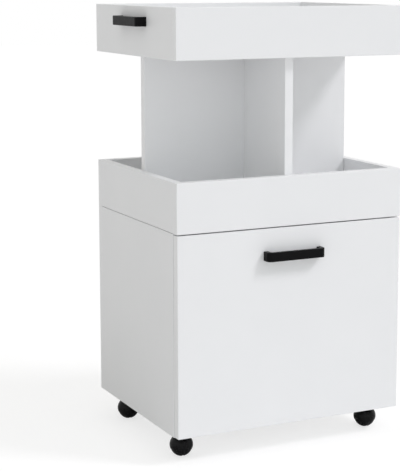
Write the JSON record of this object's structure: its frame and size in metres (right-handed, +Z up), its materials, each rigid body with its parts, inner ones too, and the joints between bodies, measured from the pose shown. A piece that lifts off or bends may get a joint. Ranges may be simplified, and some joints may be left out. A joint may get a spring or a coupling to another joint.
{
  "type": "mobile pedestal",
  "caption": "White office pedestal on ball casters: deep drawer in a case, an open tray over it, a cross of upright panels, and a second tray with a side handle on top.",
  "frame": {"origin": "on the floor, in the middle of the footprint with both handles counted", "axes": "+Z up, the drawer opens towards -Y, +X to the right of someone facing the drawer"},
  "size_m": [0.438, 0.358, 0.7435],
  "materials": {
    "white_board": "white melamine-faced board, satin, with edge banding",
    "drawer_board": "plain white foil-covered board, matt",
    "black_handle": "fine-textured black powder coat",
    "zinc_steel": "bright zinc-plated steel",
    "black_plastic": "moulded black nylon, satin"
  },
  "bodies": {
    "cabinet": {"base_panel": "white_board", "left_side_panel": "white_board", "right_side_panel": "white_board", "back_panel": "white_board", "lower_tray_floor": "white_board", "lower_tray_front_wall": "white_board", "lower_tray_left_wall": "white_board", "lower_tray_right_wall": "white_board", "centre_divider": "white_board", "left_wing_panel": "white_board", "right_wing_panel": "white_board", "top_tray_floor": "white_board", "top_tray_front_wall": "white_board", "top_tray_left_wall": "white_board", "top_tray_right_wall": "white_board", "top_tray_rear_wall": "white_board", "tray_handle": "black_handle", "tray_handle_screw_left": "zinc_steel", "tray_handle_screw_right": "zinc_steel", "left_slide_outer_channel": "zinc_steel", "right_slide_outer_channel": "zinc_steel", "front_left_caster_plate": "zinc_steel", "front_right_caster_plate": "zinc_steel", "rear_left_caster_plate": "zinc_steel", "rear_right_caster_plate": "zinc_steel"},
    "drawer": {"drawer_front": "white_board", "drawer_left_side": "drawer_board", "drawer_right_side": "drawer_board", "drawer_bottom": "drawer_board", "drawer_back": "drawer_board", "drawer_handle": "black_handle", "drawer_handle_screw_left": "zinc_steel", "drawer_handle_screw_right": "zinc_steel", "left_slide_inner_channel": "zinc_steel", "right_slide_inner_channel": "zinc_steel"},
    "slide_middles": {"left_slide_middle_channel": "zinc_steel", "right_slide_middle_channel": "zinc_steel"},
    "front_left_swivel": {"front_left_caster_hood": "black_plastic", "front_left_caster_axle": "zinc_steel"},
    "front_left_wheel_left": {"front_left_caster_wheel_left": "black_plastic"},
    "front_left_wheel_right": {"front_left_caster_wheel_right": "black_plastic"},
    "front_right_swivel": {"front_right_caster_hood": "black_plastic", "front_right_caster_axle": "zinc_steel"},
    "front_right_wheel_left": {"front_right_caster_wheel_left": "black_plastic"},
    "front_right_wheel_right": {"front_right_caster_wheel_right": "black_plastic"},
    "rear_left_swivel": {"rear_left_caster_hood": "black_plastic", "rear_left_caster_axle": "zinc_steel"},
    "rear_left_wheel_left": {"rear_left_caster_wheel_left": "black_plastic"},
    "rear_left_wheel_right": {"rear_left_caster_wheel_right": "black_plastic"},
    "rear_right_swivel": {"rear_right_caster_hood": "black_plastic", "rear_right_caster_axle": "zinc_steel"},
    "rear_right_wheel_left": {"rear_right_caster_wheel_left": "black_plastic"},
    "rear_right_wheel_right": {"rear_right_caster_wheel_right": "black_plastic"}
  },
  "joints": [
    {"name": "drawer_slide", "type": "slide", "parent": "cabinet", "child": "drawer", "axis": [0, -1, 0], "range_m": [0, 0.25]},
    {"name": "slide_extension", "type": "slide", "parent": "cabinet", "child": "slide_middles", "axis": [0, -1, 0], "range_m": [0, 0.125]},
    {"name": "front_left_swivel_turn", "type": "hinge", "parent": "cabinet", "child": "front_left_swivel", "pos_m": [-0.17, -0.118, 0.04], "axis": [0, 0, 1], "continuous": true},
    {"name": "front_right_swivel_turn", "type": "hinge", "parent": "cabinet", "child": "front_right_swivel", "pos_m": [0.188, -0.118, 0.04], "axis": [0, 0, 1], "continuous": true},
    {"name": "rear_left_swivel_turn", "type": "hinge", "parent": "cabinet", "child": "rear_left_swivel", "pos_m": [-0.17, 0.136, 0.04], "axis": [0, 0, 1], "continuous": true},
    {"name": "rear_right_swivel_turn", "type": "hinge", "parent": "cabinet", "child": "rear_right_swivel", "pos_m": [0.188, 0.136, 0.04], "axis": [0, 0, 1], "continuous": true},
    {"name": "front_left_wheel_left_roll", "type": "hinge", "parent": "front_left_swivel", "child": "front_left_wheel_left", "pos_m": [-0.17, -0.106, 0.01823], "axis": [1, 0, 0], "continuous": true},
    {"name": "front_left_wheel_right_roll", "type": "hinge", "parent": "front_left_swivel", "child": "front_left_wheel_right", "pos_m": [-0.17, -0.106, 0.01823], "axis": [1, 0, 0], "continuous": true},
    {"name": "front_right_wheel_left_roll", "type": "hinge", "parent": "front_right_swivel", "child": "front_right_wheel_left", "pos_m": [0.188, -0.106, 0.01823], "axis": [1, 0, 0], "continuous": true},
    {"name": "front_right_wheel_right_roll", "type": "hinge", "parent": "front_right_swivel", "child": "front_right_wheel_right", "pos_m": [0.188, -0.106, 0.01823], "axis": [1, 0, 0], "continuous": true},
    {"name": "rear_left_wheel_left_roll", "type": "hinge", "parent": "rear_left_swivel", "child": "rear_left_wheel_left", "pos_m": [-0.17, 0.124, 0.01823], "axis": [1, 0, 0], "continuous": true},
    {"name": "rear_left_wheel_right_roll", "type": "hinge", "parent": "rear_left_swivel", "child": "rear_left_wheel_right", "pos_m": [-0.17, 0.124, 0.01823], "axis": [1, 0, 0], "continuous": true},
    {"name": "rear_right_wheel_left_roll", "type": "hinge", "parent": "rear_right_swivel", "child": "rear_right_wheel_left", "pos_m": [0.188, 0.124, 0.01823], "axis": [1, 0, 0], "continuous": true},
    {"name": "rear_right_wheel_right_roll", "type": "hinge", "parent": "rear_right_swivel", "child": "rear_right_wheel_right", "pos_m": [0.188, 0.124, 0.01823], "axis": [1, 0, 0], "continuous": true}
  ],
  "couplings": [
    {"joint": "slide_extension", "follows": "drawer_slide", "ratio": 0.5}
  ]
}
